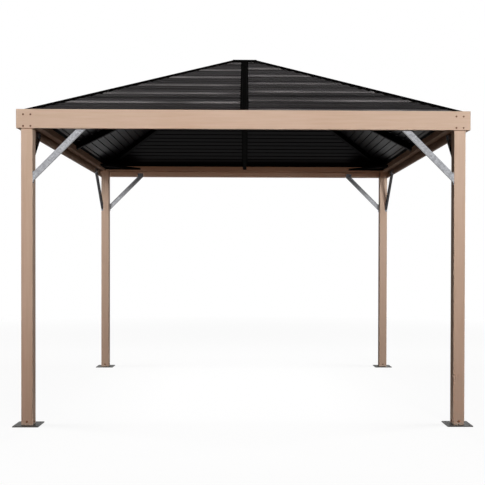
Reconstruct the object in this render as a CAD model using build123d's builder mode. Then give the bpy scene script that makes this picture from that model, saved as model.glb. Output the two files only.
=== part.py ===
from build123d import *
import os
from math import atan, atan2, cos, radians, sin, sqrt, tan

# A square metal gazebo: four posts, a deep fascia round the eaves and a ribbed hip roof.
# Millimetres, with the origin on the ground under the peak, +Z up and the front towards -Y.

# Overall frame
footprint = 3000  # across the outer faces of the fascia
fascia_underside = 1967  # headroom under the fascia
roof_pitch = 26.55  # degrees

# Fascia, a lipped channel with closed ends
fascia_height = 126
fascia_depth = 25
fascia_lip = 30
fascia_wall = 2
fascia_fold = 4  # outer radius of its folds

# Posts and the anchor plates under them
post_size = 76
post_wall = 2
post_corner = 3
plate_size = 172
plate_thickness = 5
plate_corner = 8
anchor_edge = 21  # from the middle of an anchor hole to the edge of the plate
anchor_radius = 6
spigot_height = 80
spigot_wall = 3
spigot_clearance = 0.4

# Eave rails between the post heads
rail_depth = 50
rail_height = 50
rail_wall = 2
rail_corner = 3
rail_drop = 22  # of the top of the rails below the top of the fascia

# Knee braces, channels with their web outwards
brace_width = 40
brace_depth = 20
brace_wall = 2
brace_angle = 45  # degrees
brace_drop = 317  # of the middle of the foot below the underside of the fascia
brace_clearance = 16  # between the head of the brace and the eave rail
tab_thickness = 3
tab_reach = 12  # of the end tab beyond the channel, up and down

# Corner gussets, folded plates under the hip rafters
gusset_leg = 323
gusset_rim = 19
gusset_wall = 3
gusset_clearance = 4

# Rafters, hat sections open towards the sheet
rafter_width = 35
rafter_flange = 56
rafter_wall = 2
centre_rafter_depth = 56  # plumb
hip_rafter_depth = 50  # plumb
rafter_gap = 4.4  # between neighbours at the crown
crown_wall = 3
crown_drop = 12  # of the crown box below the rafters

# Ribbed sheet of the roof
sheet_thickness = 1.5
rib_pitch = 61
rib_width = 13
rib_height = 10
rib_lean = 3  # how far each side of a rib slopes
eave_setback = 3  # of the sheet from the back of the fascia
crown_gap = 2  # of the sheet from the crown box
joint_gap = 8  # between the two panels of a slope
hip_gap = 12  # between the panels of two slopes, along the eave

# Strips and caps over the joints
strip_width = 56
strip_flat = 10
strip_rise = 5
strip_lean = 3
hip_cap_width = 48
hip_cap_flat = 9
hip_cap_rise = 7
hip_cap_web = 3  # thickness of its web, between the panels of two slopes
trim_thickness = 1.5
top_cap_lap = 28  # beyond the crown box
top_cap_rim = 12
cap_clearance = 0.3

overrun = 10  # of every cut past the faces it opens

sides = {"front": (0, -1), "right": (1, 0), "rear": (0, 1), "left": (-1, 0)}
corners = {"front_left": (-1, -1), "front_right": (1, -1), "rear_right": (1, 1), "rear_left": (-1, 1)}

# Plan lines, as distances from the centre
half_size = footprint / 2
seat = half_size - fascia_depth  # back of the fascia, where posts, rails and braces bear
post_centre = seat - post_size / 2
post_inner = seat - post_size
rail_inner = seat - rail_depth
crown_half = rafter_flange * (1 + sqrt(2)) / 2 + rafter_gap
sheet_top = crown_half + crown_gap
sheet_edge = seat - eave_setback
top_cap_half = crown_half + top_cap_lap

# Levels
fascia_top = fascia_underside + fascia_height
rail_top = fascia_top - rail_drop
rail_underside = rail_top - rail_height
pitch_rise = tan(radians(roof_pitch))  # of a slope, for each unit of plan
pitch_cos = cos(radians(roof_pitch))
pitch_sin = sin(radians(roof_pitch))
hip_rise = pitch_rise / sqrt(2)  # along a hip, and across it
hip_angle = atan(hip_rise)
apex = rail_top + pitch_rise * seat  # where the undersides of the four slopes would meet
crest = (sheet_thickness + rib_height) / pitch_cos  # rib crests above the underside, plumb
trim_plumb = trim_thickness / pitch_cos
brace_foot = fascia_underside - brace_drop
brace_top = rail_underside - brace_clearance
crown_underside = apex - pitch_rise * crown_half - centre_rafter_depth - crown_drop
top_cap_inner = top_cap_half - trim_thickness
top_cap_underside = apex - pitch_rise * top_cap_inner + crest + cap_clearance
top_cap_top = top_cap_underside + top_cap_rim
gusset_top = rail_top + pitch_rise * post_size - hip_rafter_depth - gusset_clearance

# Lines of a knee brace, seen square to its web
brace_run = tan(radians(brace_angle))
brace_half = brace_width / 2 / cos(radians(brace_angle))  # half of the plumb cut
pocket_half = (brace_width / 2 - brace_wall) / cos(radians(brace_angle))


def sheet_level(distance):
    """Height of the underside of a slope at a plan distance from the centre."""
    return apex - pitch_rise * distance


def side_plane(out):
    """Upright plane through the centre: x is the distance outwards, y the height."""
    return Plane(origin=(0, 0, 0), x_dir=(out[0], out[1], 0), z_dir=(out[1], -out[0], 0))


def plan_plane(out, level):
    """Level plane with x outwards and y along the eave."""
    return Plane(origin=(0, 0, level), x_dir=(out[0], out[1], 0), z_dir=(0, 0, 1))


def slope_plane(out):
    """Plane of a slope seen from its end: x runs down the slope, y stands off its underside."""
    down = (out[0] * pitch_cos, out[1] * pitch_cos, -pitch_sin)
    return Plane(origin=(0, 0, apex), x_dir=down, z_dir=(out[1], -out[0], 0))


def cross_plane(out, distance, level):
    """Upright plane across a plan direction: x is sideways, y the height above the level."""
    place = (out[0] * distance, out[1] * distance, level)
    return Plane(origin=place, x_dir=(-out[1], out[0], 0), z_dir=(out[0], out[1], 0))


def hat_outline(depth, fall):
    """Outline of a rafter whose flanges fall away sideways from its middle line."""
    flange = rafter_flange / 2
    body = rafter_width / 2
    bore = body - rafter_wall
    right = [
        (bore, rafter_wall - depth),
        (bore, -fall * bore),
        (flange, -fall * flange),
        (flange, -fall * flange - rafter_wall),
        (body, -fall * body - rafter_wall),
        (body, -depth),
    ]
    return right + [(-x, y) for x, y in reversed(right)]


def raised_outline(half_width, flat, lean, rise, fall):
    """Outline of a folded strip that lies on the rib crests and stands up in the middle."""
    knee = half_width - flat
    under = [
        (half_width, crest - fall * half_width),
        (knee, crest - fall * knee),
        (knee - lean, crest - fall * (knee - lean) + rise),
    ]
    over = [(x, y + trim_plumb) for x, y in under]
    return under, over


def brace_outline(half_cut, inset, top):
    """Outline of a brace that slants up from the post and ends upright behind the fascia."""
    near = (brace_drop - brace_half) / brace_run + inset
    far = (brace_drop + brace_half) / brace_run - inset
    return [
        (0, -half_cut),
        (far, far * brace_run - half_cut),
        (far, top),
        (near, top),
        (near, near * brace_run + half_cut),
        (0, half_cut),
    ]


os.makedirs("parts", exist_ok=True)

# Posts, square tubes from the anchor plate to the top of the eave rails
for corner, (right, back) in corners.items():
    with BuildPart() as post:
        with BuildSketch(Plane(origin=(right * post_centre, back * post_centre, plate_thickness))):
            RectangleRounded(post_size, post_size, post_corner)
            Rectangle(post_size - 2 * post_wall, post_size - 2 * post_wall, mode=Mode.SUBTRACT)
        extrude(amount=rail_top - plate_thickness)
    post.part.label = f"{corner}_post"
    export_step(post.part, f"parts/{corner}_post.step")

# Anchor plates, each with a square spigot inside its post
anchor_spacing = plate_size - 2 * anchor_edge
spigot_size = post_size - 2 * (post_wall + spigot_clearance)
for corner, (right, back) in corners.items():
    with BuildPart() as plate:
        with BuildSketch(Plane(origin=(right * post_centre, back * post_centre, 0))):
            RectangleRounded(plate_size, plate_size, plate_corner)
            with GridLocations(anchor_spacing, anchor_spacing, 2, 2):
                Circle(anchor_radius, mode=Mode.SUBTRACT)
        extrude(amount=plate_thickness)
        with BuildSketch(Plane(origin=(right * post_centre, back * post_centre, plate_thickness))):
            RectangleRounded(spigot_size, spigot_size, post_corner)
            offset(amount=-spigot_wall, mode=Mode.SUBTRACT)
        extrude(amount=spigot_height)
    plate.part.label = f"{corner}_base_plate"
    export_step(plate.part, f"parts/{corner}_base_plate.step")

# Fascia, folded sheet with its back open between two lips and its ends closed
# The front and rear ones run over the full width, and the side ones between them
fascia_middle = fascia_underside + fascia_height / 2
for side, out in sides.items():
    reach = half_size if out[0] == 0 else seat
    with BuildPart() as fascia:
        with BuildSketch(side_plane(out)):
            with Locations((seat + fascia_depth / 2, fascia_middle)):
                RectangleRounded(fascia_depth, fascia_height, fascia_fold)
                Rectangle(
                    fascia_depth - 2 * fascia_wall, fascia_height - 2 * fascia_wall, mode=Mode.SUBTRACT
                )
            with Locations((seat, fascia_middle)):
                Rectangle(2 * fascia_wall, fascia_height - 2 * fascia_lip, mode=Mode.SUBTRACT)
        extrude(amount=reach, both=True)
        for start in (-reach, reach - fascia_wall):
            with BuildSketch(side_plane(out).offset(start)):
                with Locations((seat + fascia_depth / 2, fascia_middle)):
                    RectangleRounded(fascia_depth, fascia_height, fascia_fold)
            extrude(amount=fascia_wall)
    fascia.part.label = f"{side}_fascia"
    export_step(fascia.part, f"parts/{side}_fascia.step")

# Eave rails, tubes between the posts with their backs to the fascia
for side, out in sides.items():
    with BuildPart() as rail:
        with BuildSketch(side_plane(out)):
            with Locations((seat - rail_depth / 2, rail_underside + rail_height / 2)):
                RectangleRounded(rail_depth, rail_height, rail_corner)
                Rectangle(rail_depth - 2 * rail_wall, rail_height - 2 * rail_wall, mode=Mode.SUBTRACT)
        extrude(amount=post_inner, both=True)
    rail.part.label = f"{side}_eave_rail"
    export_step(rail.part, f"parts/{side}_eave_rail.step")

# Knee braces, two channels to each post, in the plane of the back of the fascia
# The head of each one turns upright where its web bears on the fascia
tab_half = brace_half + tab_reach
brace_rise = brace_top - brace_foot
for corner, (right, back) in corners.items():
    across_braces = (
        ((right * post_inner, back * seat), (-right, 0), (0, -back)),
        ((right * seat, back * post_inner), (0, -back), (-right, 0)),
    )
    with BuildPart() as braces:
        for foot, along, inwards in across_braces:
            normal = (along[1], -along[0], 0)
            inward = (inwards[0], inwards[1], 0)
            shift = (inwards[0] * brace_wall, inwards[1] * brace_wall)
            face_plane = Plane(
                origin=(foot[0], foot[1], brace_foot), x_dir=(along[0], along[1], 0), z_dir=normal
            )
            pocket_plane = Plane(
                origin=(foot[0] + shift[0], foot[1] + shift[1], brace_foot),
                x_dir=(along[0], along[1], 0),
                z_dir=normal,
            )
            with BuildSketch(face_plane):
                with BuildLine():
                    Polyline(*brace_outline(brace_half, 0, brace_rise), close=True)
                make_face()
            extrude(amount=brace_depth, dir=inward)
            with BuildSketch(pocket_plane):
                with BuildLine():
                    Polyline(*brace_outline(pocket_half, brace_wall, brace_rise + overrun), close=True)
                make_face()
            extrude(amount=brace_depth, dir=inward, mode=Mode.SUBTRACT)
            with BuildSketch(face_plane):
                with BuildLine():
                    Polyline(
                        (0, -tab_half),
                        (tab_thickness, -tab_half),
                        (tab_thickness, tab_half),
                        (0, tab_half),
                        close=True,
                    )
                make_face()
            extrude(amount=brace_depth, dir=inward)
    braces.part.label = f"{corner}_knee_braces"
    export_step(braces.part, f"parts/{corner}_knee_braces.step")

# Corner gussets, folded plates that tie two rails round the inner corner of a post
gusset_tip = post_inner - gusset_leg
with BuildPart() as gussets:
    for out in sides.values():
        for level, shrink, height, mode in (
            (gusset_top - gusset_rim, 0, gusset_rim, Mode.ADD),
            (gusset_top - gusset_rim, gusset_wall, gusset_rim - gusset_wall, Mode.SUBTRACT),
        ):
            with BuildSketch(plan_plane(out, level)):
                with BuildLine():
                    Polyline(
                        (gusset_tip, rail_inner),
                        (post_inner, rail_inner),
                        (post_inner, post_inner),
                        (rail_inner, post_inner),
                        (rail_inner, gusset_tip),
                        close=True,
                    )
                make_face()
                if shrink:
                    offset(amount=-shrink, kind=Kind.INTERSECTION, mode=Mode.REPLACE)
            extrude(amount=height, mode=mode)
gussets.part.label = "corner_gussets"
export_step(gussets.part, "parts/corner_gussets.step")

# Centre rafters, from the crown box to the inner face of the rail
for side, out in sides.items():
    down = (out[0] * pitch_cos, out[1] * pitch_cos, -pitch_sin)
    with BuildPart() as rafter:
        with BuildSketch(cross_plane(out, crown_half, sheet_level(crown_half))):
            with BuildLine():
                Polyline(*hat_outline(centre_rafter_depth, 0), close=True)
            make_face()
        extrude(amount=(rail_inner - crown_half) / pitch_cos, dir=down)
    rafter.part.label = f"{side}_centre_rafter"
    export_step(rafter.part, f"parts/{side}_centre_rafter.step")

# Hip rafters, from the crown box to the corner, notched over the head of the post
hip_start = crown_half * sqrt(2) - rafter_flange
hip_end = sheet_edge * sqrt(2) + rafter_flange
for corner, (right, back) in corners.items():
    out = (right / sqrt(2), back / sqrt(2))
    down = (out[0] * cos(hip_angle), out[1] * cos(hip_angle), -sin(hip_angle))
    with BuildPart() as rafter:
        with BuildSketch(cross_plane(out, hip_start, apex - hip_rise * hip_start)):
            with BuildLine():
                Polyline(*hat_outline(hip_rafter_depth, hip_rise), close=True)
            make_face()
        extrude(amount=(hip_end - hip_start) / cos(hip_angle), dir=down)
        with BuildSketch(Plane.XY):
            Rectangle(2 * sheet_edge, 2 * sheet_edge)
        extrude(amount=apex + overrun, mode=Mode.INTERSECT)
        with BuildSketch(Plane.XY):
            Rectangle(2 * crown_half, 2 * crown_half)
        extrude(amount=apex + overrun, mode=Mode.SUBTRACT)
        with BuildSketch(Plane.XY):
            Rectangle(footprint, footprint)
            Rectangle(2 * post_inner, 2 * post_inner, mode=Mode.SUBTRACT)
        extrude(amount=rail_top, mode=Mode.SUBTRACT)
    rafter.part.label = f"{corner}_hip_rafter"
    export_step(rafter.part, f"parts/{corner}_hip_rafter.step")

# Crown box, open at the top, which carries the rafters and the top cap
with BuildPart() as crown:
    with BuildSketch(Plane.XY.offset(crown_underside)):
        Rectangle(2 * crown_half, 2 * crown_half)
    extrude(amount=top_cap_top - trim_thickness - crown_underside)
    offset(amount=-crown_wall, openings=crown.faces().sort_by(Axis.Z)[-1], kind=Kind.INTERSECTION)
crown.part.label = "crown_box"
export_step(crown.part, "parts/crown_box.step")

# Eave closers, wedges that fill the gap between the rails and the sheet
closer_half = rail_inner - (rafter_flange / 2 + rafter_gap) * sqrt(2)
with BuildPart() as closers:
    for out in sides.values():
        with BuildSketch(side_plane(out)):
            with BuildLine():
                Polyline(
                    (rail_inner, rail_top),
                    (sheet_edge, rail_top),
                    (sheet_edge, sheet_level(sheet_edge)),
                    (rail_inner, sheet_level(rail_inner)),
                    close=True,
                )
            make_face()
        extrude(amount=closer_half, both=True)
closers.part.label = "eave_closers"
export_step(closers.part, "parts/eave_closers.step")

# Roof panels: flat pans between narrow ribs that run along the eave, two panels to a slope
slope_start = sheet_top / pitch_cos
slope_end = sheet_edge / pitch_cos
pan_width = rib_pitch - rib_width
rib_count = int((slope_end - slope_start - pan_width) // rib_pitch)
first_rib = (slope_start + slope_end - rib_count * rib_pitch + pan_width) / 2
fold = sheet_thickness * tan(atan2(rib_height, rib_lean) / 2)  # shift of a fold through the sheet
under = [(slope_start, 0)]
over = [(slope_start, sheet_thickness)]
for index in range(rib_count):
    foot = first_rib + index * rib_pitch
    heel = foot + rib_width
    under += [(foot, 0), (foot + rib_lean, rib_height), (heel - rib_lean, rib_height), (heel, 0)]
    over += [
        (foot - fold, sheet_thickness),
        (foot + rib_lean - fold, rib_height + sheet_thickness),
        (heel - rib_lean + fold, rib_height + sheet_thickness),
        (heel + fold, sheet_thickness),
    ]
under.append((slope_end, 0))
over.append((slope_end, sheet_thickness))
for side, out in sides.items():
    with BuildPart() as panels:
        with BuildSketch(slope_plane(out)):
            with BuildLine():
                Polyline(*under, *reversed(over), close=True)
            make_face()
        extrude(amount=sheet_edge, both=True)
        with BuildSketch(plan_plane(out, 0)):
            with BuildLine():
                Polyline(
                    (sheet_top - sheet_thickness, joint_gap / 2),
                    (sheet_edge + rib_height, joint_gap / 2),
                    (sheet_edge + rib_height, sheet_edge + rib_height - hip_gap / 2),
                    (sheet_top - sheet_thickness, sheet_top - sheet_thickness - hip_gap / 2),
                    close=True,
                )
            make_face()
            mirror(about=Plane.XZ)
        extrude(amount=apex + overrun, mode=Mode.INTERSECT)
    panels.part.label = f"{side}_roof_panels"
    export_step(panels.part, f"parts/{side}_roof_panels.step")

# Joint strips, raised over the joint between the two panels of a slope
strip_start = top_cap_half + cap_clearance
strip_under, strip_over = raised_outline(strip_width / 2, strip_flat, strip_lean, strip_rise, 0)
strip_outline = strip_under + [(-x, y) for x, y in reversed(strip_under)]
strip_outline += [(-x, y) for x, y in strip_over] + list(reversed(strip_over))
for side, out in sides.items():
    down = (out[0] * pitch_cos, out[1] * pitch_cos, -pitch_sin)
    with BuildPart() as strip:
        with BuildSketch(cross_plane(out, strip_start, sheet_level(strip_start))):
            with BuildLine():
                Polyline(*strip_outline, close=True)
            make_face()
        extrude(amount=(sheet_edge - strip_start) / pitch_cos, dir=down)
    strip.part.label = f"{side}_joint_strip"
    export_step(strip.part, f"parts/{side}_joint_strip.step")

# Hip caps, folded over each hip with their edges on the ribs of both slopes
# A web under the fold stands between the panels and closes the ends of the ribs
cap_start = top_cap_half * sqrt(2) - hip_cap_width
cap_end = sheet_edge * sqrt(2) + hip_cap_width
cap_knee = hip_cap_width / 2 - hip_cap_flat
cap_under, cap_over = raised_outline(hip_cap_width / 2, hip_cap_flat, cap_knee, hip_cap_rise, hip_rise)
cap_outline = cap_under + [(-x, y) for x, y in reversed(cap_under[:-1])]
cap_outline += [(-x, y) for x, y in cap_over[:-1]] + list(reversed(cap_over))
web_height = crest + hip_cap_rise
for corner, (right, back) in corners.items():
    out = (right / sqrt(2), back / sqrt(2))
    down = (out[0] * cos(hip_angle), out[1] * cos(hip_angle), -sin(hip_angle))
    with BuildPart() as hip_cap:
        with BuildSketch(cross_plane(out, cap_start, apex - hip_rise * cap_start)):
            with BuildLine():
                Polyline(*cap_outline, close=True)
            make_face()
            with Locations((0, web_height / 2)):
                Rectangle(hip_cap_web, web_height)
        extrude(amount=(cap_end - cap_start) / cos(hip_angle), dir=down)
        with BuildSketch(Plane.XY):
            Rectangle(2 * sheet_edge, 2 * sheet_edge)
        extrude(amount=apex + hip_cap_rise + overrun, mode=Mode.INTERSECT)
        with BuildSketch(Plane.XY):
            Rectangle(2 * strip_start, 2 * strip_start)
        extrude(amount=apex + hip_cap_rise + overrun, mode=Mode.SUBTRACT)
    hip_cap.part.label = f"{corner}_hip_cap"
    export_step(hip_cap.part, f"parts/{corner}_hip_cap.step")

# Top cap, a flat lid whose rim comes down to the first ribs
with BuildPart() as top_cap:
    with BuildSketch(Plane.XY.offset(top_cap_underside)):
        Rectangle(2 * top_cap_half, 2 * top_cap_half)
    extrude(amount=top_cap_rim)
    offset(amount=-trim_thickness, openings=top_cap.faces().sort_by(Axis.Z)[0], kind=Kind.INTERSECTION)
top_cap.part.label = "top_cap"
export_step(top_cap.part, "parts/top_cap.step")
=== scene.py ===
"""Looks of a square metal gazebo: its coats, its screws and bolts, and a white studio round it.

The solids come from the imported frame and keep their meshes. This script gives them their finishes,
adds the fasteners that hold them together and sets the camera, the lamps and the floor.
Lengths are metres, +Z is up and the front faces -Y.
"""

from __future__ import annotations

import logging
import math
from dataclasses import dataclass, field, replace
from enum import Enum

import bpy
import numpy as np
from mathutils import Matrix, Vector

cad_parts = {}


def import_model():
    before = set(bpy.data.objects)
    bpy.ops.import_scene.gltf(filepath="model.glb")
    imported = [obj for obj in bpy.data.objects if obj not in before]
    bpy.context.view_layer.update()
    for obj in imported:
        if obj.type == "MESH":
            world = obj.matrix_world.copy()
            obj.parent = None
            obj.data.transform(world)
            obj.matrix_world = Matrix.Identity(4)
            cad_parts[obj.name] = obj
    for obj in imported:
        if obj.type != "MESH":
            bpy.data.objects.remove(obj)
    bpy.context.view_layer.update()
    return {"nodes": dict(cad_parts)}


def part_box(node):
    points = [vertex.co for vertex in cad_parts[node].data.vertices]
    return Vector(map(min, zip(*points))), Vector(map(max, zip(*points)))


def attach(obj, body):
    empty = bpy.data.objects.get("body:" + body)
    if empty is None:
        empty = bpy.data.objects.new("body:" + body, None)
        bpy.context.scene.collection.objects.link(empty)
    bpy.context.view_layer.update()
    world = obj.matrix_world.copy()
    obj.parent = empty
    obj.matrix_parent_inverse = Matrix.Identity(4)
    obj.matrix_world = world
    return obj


Plan = tuple[float, float]
Range = tuple[float, float]
Place = tuple[float, float, float]
Colour = tuple[float, float, float]
Rgba = tuple[float, float, float, float]
Socket = bpy.types.NodeSocket
Feed = bpy.types.NodeSocket | float | tuple

LOG = logging.getLogger("metal_gazebo")
BODY = "root"
IMAGE_SIZE = 485  # pixels across the square picture
SENSOR_WIDTH = 36.0  # millimetres

UP = Vector((0.0, 0.0, 1.0))
SIDES: dict[str, Plan] = {"front": (0.0, -1.0), "right": (1.0, 0.0), "rear": (0.0, 1.0), "left": (-1.0, 0.0)}
CORNERS: dict[str, Plan] = {
    "front_left": (-1.0, -1.0),
    "front_right": (1.0, -1.0),
    "rear_right": (1.0, 1.0),
    "rear_left": (-1.0, 1.0),
}

WHOLE: Range = (0.0, 1.0)
WHITE: Rgba = (1.0, 1.0, 1.0, 1.0)
FULL_LEVEL = 255.0  # of a screen colour
CURVE_FOOT = 0.04045  # share below which the screen curve is straight
CURVE_SLOPE = 12.92  # of the straight foot
CURVE_LIFT = 0.055
CURVE_POWER = 2.4

DUST: Colour = (172, 164, 154)
PALE_FOOT_BAND = 0.022  # height of the paler band above the ground


class Run(Enum):
    """Which way a piece runs, as the squeeze that draws a pattern out along it."""

    ACROSS = (0.05, 1.0, 1.0)
    DEEP = (1.0, 0.05, 1.0)
    UPRIGHT = (1.0, 1.0, 0.05)
    FRONT_SLOPE = (0.02, 1.0, 1.0)
    SIDE_SLOPE = (1.0, 0.02, 1.0)
    EVEN = (1.0, 1.0, 1.0)


class Drive(Enum):
    """How a fastener is turned: by a six-sided socket in a domed head, or by a six-sided head."""

    SOCKET = "socket"
    HEX = "hex"


def linear(colour: Colour) -> Rgba:
    """Turn a screen colour into the linear colour that a shader socket takes.

    Args:
        colour: red, green and blue from 0 to 255, as a picture shows them.

    Returns:
        Red, green and blue from 0 to 1 by the usual screen curve, and an alpha of 1.
    """
    share = np.array(colour) / FULL_LEVEL
    low = share / CURVE_SLOPE
    high = ((share + CURVE_LIFT) / (1.0 + CURVE_LIFT)) ** CURVE_POWER
    return (*np.where(share <= CURVE_FOOT, low, high).tolist(), 1.0)


def beside(out: Plan, distance: float, sideways: float, height: float) -> Vector:
    """Place a point by a side of the gazebo.

    Args:
        out: the way that the side faces, in plan.
        distance: from the centre, outwards.
        sideways: along the side.
        height: above the ground.

    Returns:
        The point.
    """
    return Vector((out[0] * distance - out[1] * sideways, out[1] * distance + out[0] * sideways, height))


class Shader:
    """A node tree that is filled node by node."""

    def __init__(self, tree: bpy.types.NodeTree) -> None:
        """Keep the tree that the nodes go into."""
        self.tree = tree

    def feed(self, node: bpy.types.Node, sockets: dict[str | int, Feed]) -> None:
        """Link or set the inputs of a node.

        Args:
            node: the node.
            sockets: for each input, by name or number, a socket to link or a value to set.
        """
        for key, value in sockets.items():
            if isinstance(value, bpy.types.NodeSocket):
                self.tree.links.new(value, node.inputs[key])
            else:
                node.inputs[key].default_value = value

    def add(
        self, kind: str, sockets: dict[str | int, Feed] | None = None, **settings: object
    ) -> bpy.types.Node:
        """Add a node, set its properties and feed its inputs.

        Args:
            kind: the node's type, without the ShaderNode in front.
            sockets: for each input, by name or number, a socket to link or a value to set.
            **settings: properties of the node itself.

        Returns:
            The new node.
        """
        node = self.tree.nodes.new(f"ShaderNode{kind}")
        for name, value in settings.items():
            setattr(node, name, value)
        self.feed(node, sockets or {})
        return node

    def math(self, operation: str, *values: Feed, clamp: bool = False) -> Socket:
        """Work out one number from others.

        Args:
            operation: the sum to do, such as MULTIPLY.
            *values: sockets or numbers, in order.
            clamp: whether to keep the result from 0 to 1.

        Returns:
            The socket that holds the result.
        """
        node = self.add("Math", dict(enumerate(values)), operation=operation, use_clamp=clamp)
        return node.outputs[0]

    def blend(self, share: Feed, first: Feed, second: Feed) -> Socket:
        """Mix two colours, by the share of the second."""
        return self.add("Mix", {0: share, 6: first, 7: second}, data_type="RGBA").outputs[2]

    def spread(self, value: Socket, reads: Range, gives: Range) -> Socket:
        """Map a number from one range to another, and hold it there.

        Args:
            value: the socket to map.
            reads: the two values that become the ends of the result.
            gives: the two ends of the result.

        Returns:
            The socket that holds the mapped number.
        """
        sockets = {0: value, 1: reads[0], 2: reads[1], 3: gives[0], 4: gives[1]}
        return self.add("MapRange", sockets, clamp=True).outputs[0]

    def noise(self, place: Socket, scale: Feed, detail: float, roughness: float = 0.5) -> Socket:
        """Add a cloudy pattern.

        Args:
            place: the coordinates that it lies on.
            scale: how many clouds there are to a metre.
            detail: how many finer layers it has.
            roughness: how strongly the finer layers show.

        Returns:
            The socket that holds its level.
        """
        sockets = {"Vector": place, "Scale": scale, "Detail": detail, "Roughness": roughness}
        return self.add("TexNoise", sockets).outputs[0]

    def dot(self, first: Socket, second: Socket) -> Socket:
        """Work out how far one vector reaches along another."""
        return self.add("VectorMath", {0: first, 1: second}, operation="DOT_PRODUCT").outputs["Value"]

    def upright(self, vector: Socket) -> Socket:
        """Take the part of a vector that points up."""
        return self.add("SeparateXYZ", {0: vector}).outputs[2]

    def facing(self) -> Socket:
        """Read which way the surface faces."""
        return self.add("NewGeometry").outputs["Normal"]


def empty_material(name: str) -> tuple[bpy.types.Material, Shader]:
    """Make a material with nothing in it yet.

    Args:
        name: of the material.

    Returns:
        The material, and the shader to fill.
    """
    material = bpy.data.materials.new(name)
    material.use_nodes = True
    material.node_tree.nodes.clear()
    return material, Shader(material.node_tree)


class Effects:
    """Shader groups that several finishes share."""

    CLOUD_SCALE = 1.6  # to a metre, as all scales here
    CLOUD_DETAIL = 3.0
    CLOUD_SHARE = 0.45  # of the tone
    STREAK_DETAIL = 5.0
    STREAK_ROUGHNESS = 0.62
    STREAK_SHARE = 0.55  # of the tone
    TONE_BODY: Range = (0.3, 0.7)  # levels between which most of a noise lies, as the other bodies here
    PEBBLE_DETAIL = 1.5

    PATCH_SCALE = 9.0
    PATCH_DETAIL = 6.0
    PATCH_BODY: Range = (0.38, 0.72)
    GRAIN_SCALE = 160.0
    GRAIN_DETAIL = 2.0
    GRAIN_BODY: Range = (0.35, 0.7)
    GRAIN_LEVELS: Range = (0.5, 1.0)
    LYING: Range = (0.25, 0.95)  # upward part of the normal, from bare to fully dusty
    PALE_FOOT_FADE: Range = (0.45, 1.0)  # of the band's height, from the palest to none

    EDGE_SAMPLES = 6
    EDGE_TURN: Range = (0.995, 0.75)  # cosine from the flat normal to the rounded one, from flat to edge

    HIGHLIGHT_EVERY = 4.0  # ribs
    HALF_COUNT = 0.5  # between the count that takes the painted highlight and the next
    CREST_SHARE = 0.27  # of the pitch
    WAVE_SCALE = 1.6  # along a rib
    WAVE_STEP = 7.3  # from rib to rib, so that no two are alike
    WAVE_BODY: Range = (0.35, 0.65)
    WAVE_LEVELS: Range = (0.4, 1.0)
    SLOPE = 0.5  # rise of the roof over its run
    UNDER_TURN: Range = (0.1, -0.1)  # share of the normal that leaves the sheet, from top to underside

    def __init__(self) -> None:
        """Build each group once."""
        self.coat = self._coat_tone()
        self.dust = self._settled_dust()
        self.edges = self._soft_edges()
        self.pans = self._sheet_pans()

    @staticmethod
    def _open(
        name: str, takes: dict[str, str], gives: dict[str, str]
    ) -> tuple[Shader, bpy.types.NodeOutputs, bpy.types.Node]:
        """Open a group with named inputs and outputs.

        Args:
            name: of the group.
            takes: for each input, its kind of socket.
            gives: for each output, its kind of socket.

        Returns:
            The shader to fill, the sockets that hold the inputs and the node that takes the outputs.
        """
        tree = bpy.data.node_groups.new(name, "ShaderNodeTree")
        for label, kind in takes.items():
            tree.interface.new_socket(label, in_out="INPUT", socket_type=f"NodeSocket{kind}")
        for label, kind in gives.items():
            tree.interface.new_socket(label, in_out="OUTPUT", socket_type=f"NodeSocket{kind}")
        given = tree.nodes.new("NodeGroupInput").outputs
        return Shader(tree), given, tree.nodes.new("NodeGroupOutput")

    def _coat_tone(self) -> bpy.types.NodeTree:
        """Uneven tone of a baked coat: broad clouds, fine streaks along the piece and a pebbled skin.

        Returns:
            A group whose Tone and Skin run from 0 to 1.
        """
        takes = {"Place": "Vector", "Squeeze": "Vector", "Streaks": "Float", "Pebbles": "Float"}
        shader, given, result = self._open("coat_tone", takes, {"Tone": "Float", "Skin": "Float"})
        place = given["Place"]
        drawn = shader.add("VectorMath", {0: place, 1: given["Squeeze"]}, operation="MULTIPLY").outputs[0]
        clouds = shader.noise(place, self.CLOUD_SCALE, self.CLOUD_DETAIL)
        streaks = shader.noise(drawn, given["Streaks"], self.STREAK_DETAIL, self.STREAK_ROUGHNESS)
        broad = shader.spread(clouds, self.TONE_BODY, (0.0, self.CLOUD_SHARE))
        fine = shader.spread(streaks, self.TONE_BODY, (0.0, self.STREAK_SHARE))
        pebbles = shader.noise(place, given["Pebbles"], self.PEBBLE_DETAIL)
        shader.feed(result, {"Tone": shader.math("ADD", broad, fine), "Skin": pebbles})
        return shader.tree

    def _settled_dust(self) -> bpy.types.NodeTree:
        """Dust that lies on faces that look up, and a paler band just above the ground.

        Returns:
            A group whose masks for the dust and for the paler band run from 0 to 1.
        """
        takes = {"Place": "Vector", "Band": "Float"}
        shader, given, result = self._open("settled_dust", takes, {"Dust": "Float", "Scuff": "Float"})
        patches = shader.noise(given["Place"], self.PATCH_SCALE, self.PATCH_DETAIL)
        grains = shader.noise(given["Place"], self.GRAIN_SCALE, self.GRAIN_DETAIL)
        lying = shader.spread(shader.upright(shader.facing()), self.LYING, WHOLE)
        patchy = shader.spread(patches, self.PATCH_BODY, WHOLE)
        grainy = shader.spread(grains, self.GRAIN_BODY, self.GRAIN_LEVELS)
        dust = shader.math("MULTIPLY", shader.math("MULTIPLY", lying, patchy), grainy)
        rise = shader.math("DIVIDE", shader.upright(given["Place"]), given["Band"])
        band = shader.spread(rise, self.PALE_FOOT_FADE, (1.0, 0.0))
        shader.feed(result, {"Dust": dust, "Scuff": shader.math("MULTIPLY", band, grainy)})
        return shader.tree

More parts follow.
